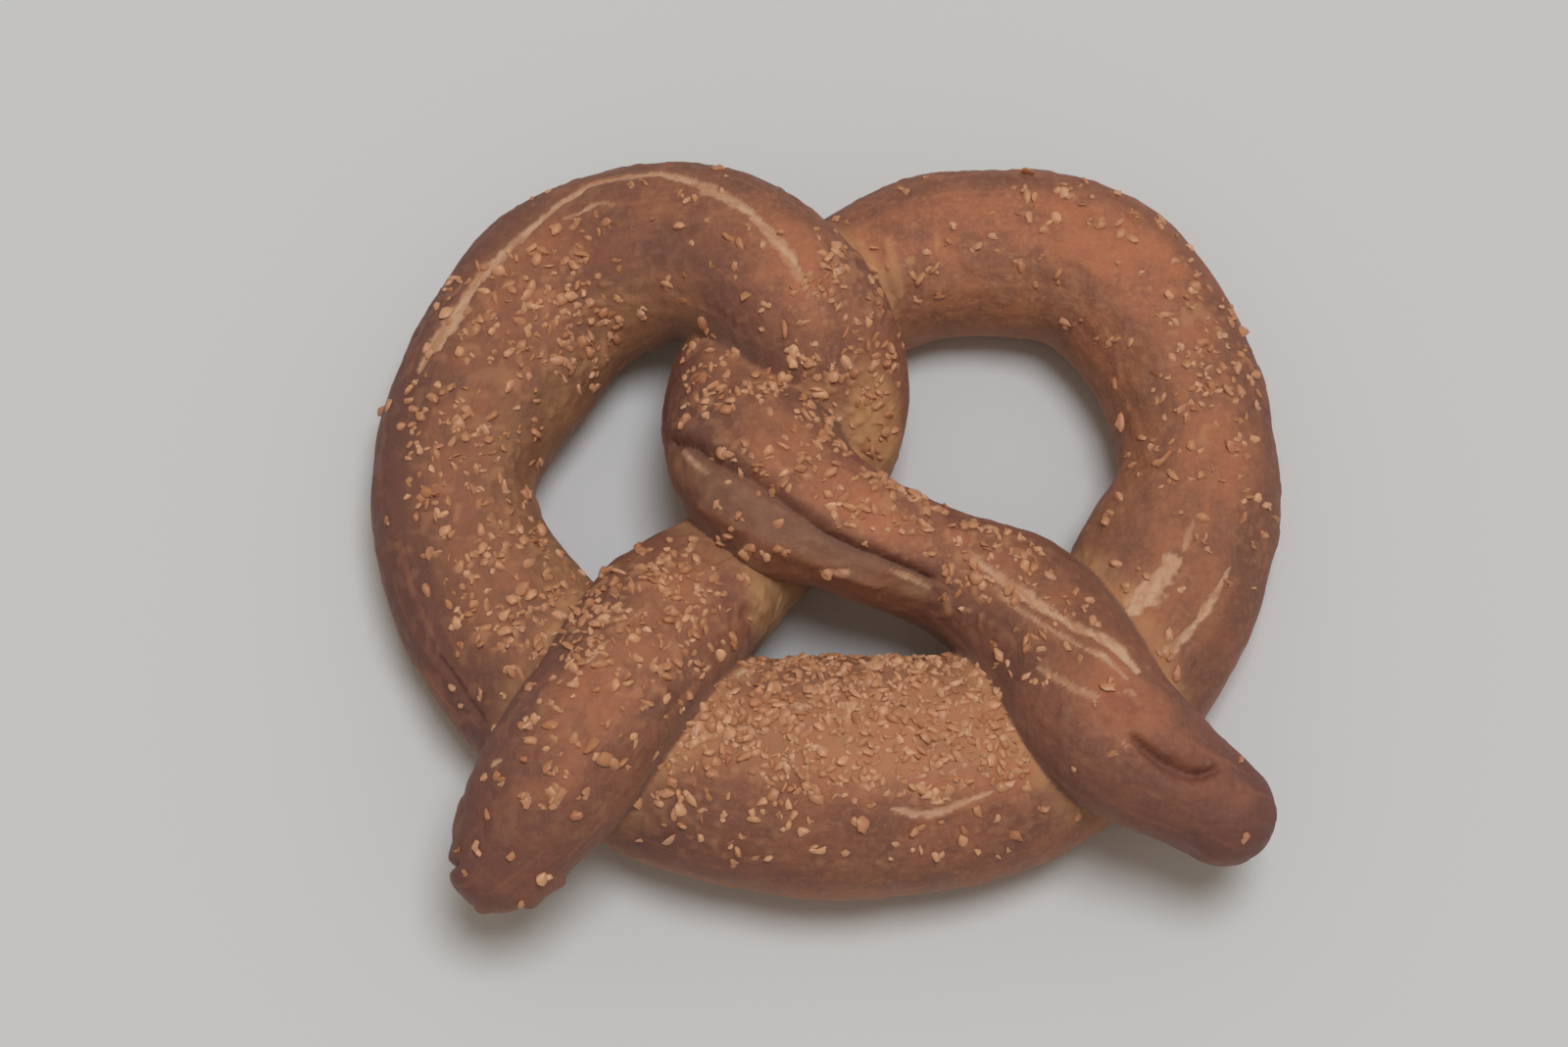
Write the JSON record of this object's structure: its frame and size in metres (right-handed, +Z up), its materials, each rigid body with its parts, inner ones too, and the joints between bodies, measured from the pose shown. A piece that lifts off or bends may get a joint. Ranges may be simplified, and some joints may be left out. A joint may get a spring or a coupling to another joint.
{
  "type": "soft pretzel",
  "caption": "Baked soft pretzel: a thick rope of dough looped, twisted and pressed onto its belly, with openings between the ropes.",
  "frame": {"origin": "on the tray the pretzel lies on, under the middle of its outline", "axes": "+X from the left loop to the right loop, +Y from the belly to the twist, +Z up"},
  "size_m": [0.148, 0.1294, 0.0374],
  "materials": {
    "crust": "browned pretzel crust, satin, paler where it has cracked",
    "salt": "coarse pretzel salt, toasted cream-tan, made as one mesh in the visual model only"
  },
  "bodies": {
    "root": {"pretzel": "crust"}
  },
  "joints": []
}
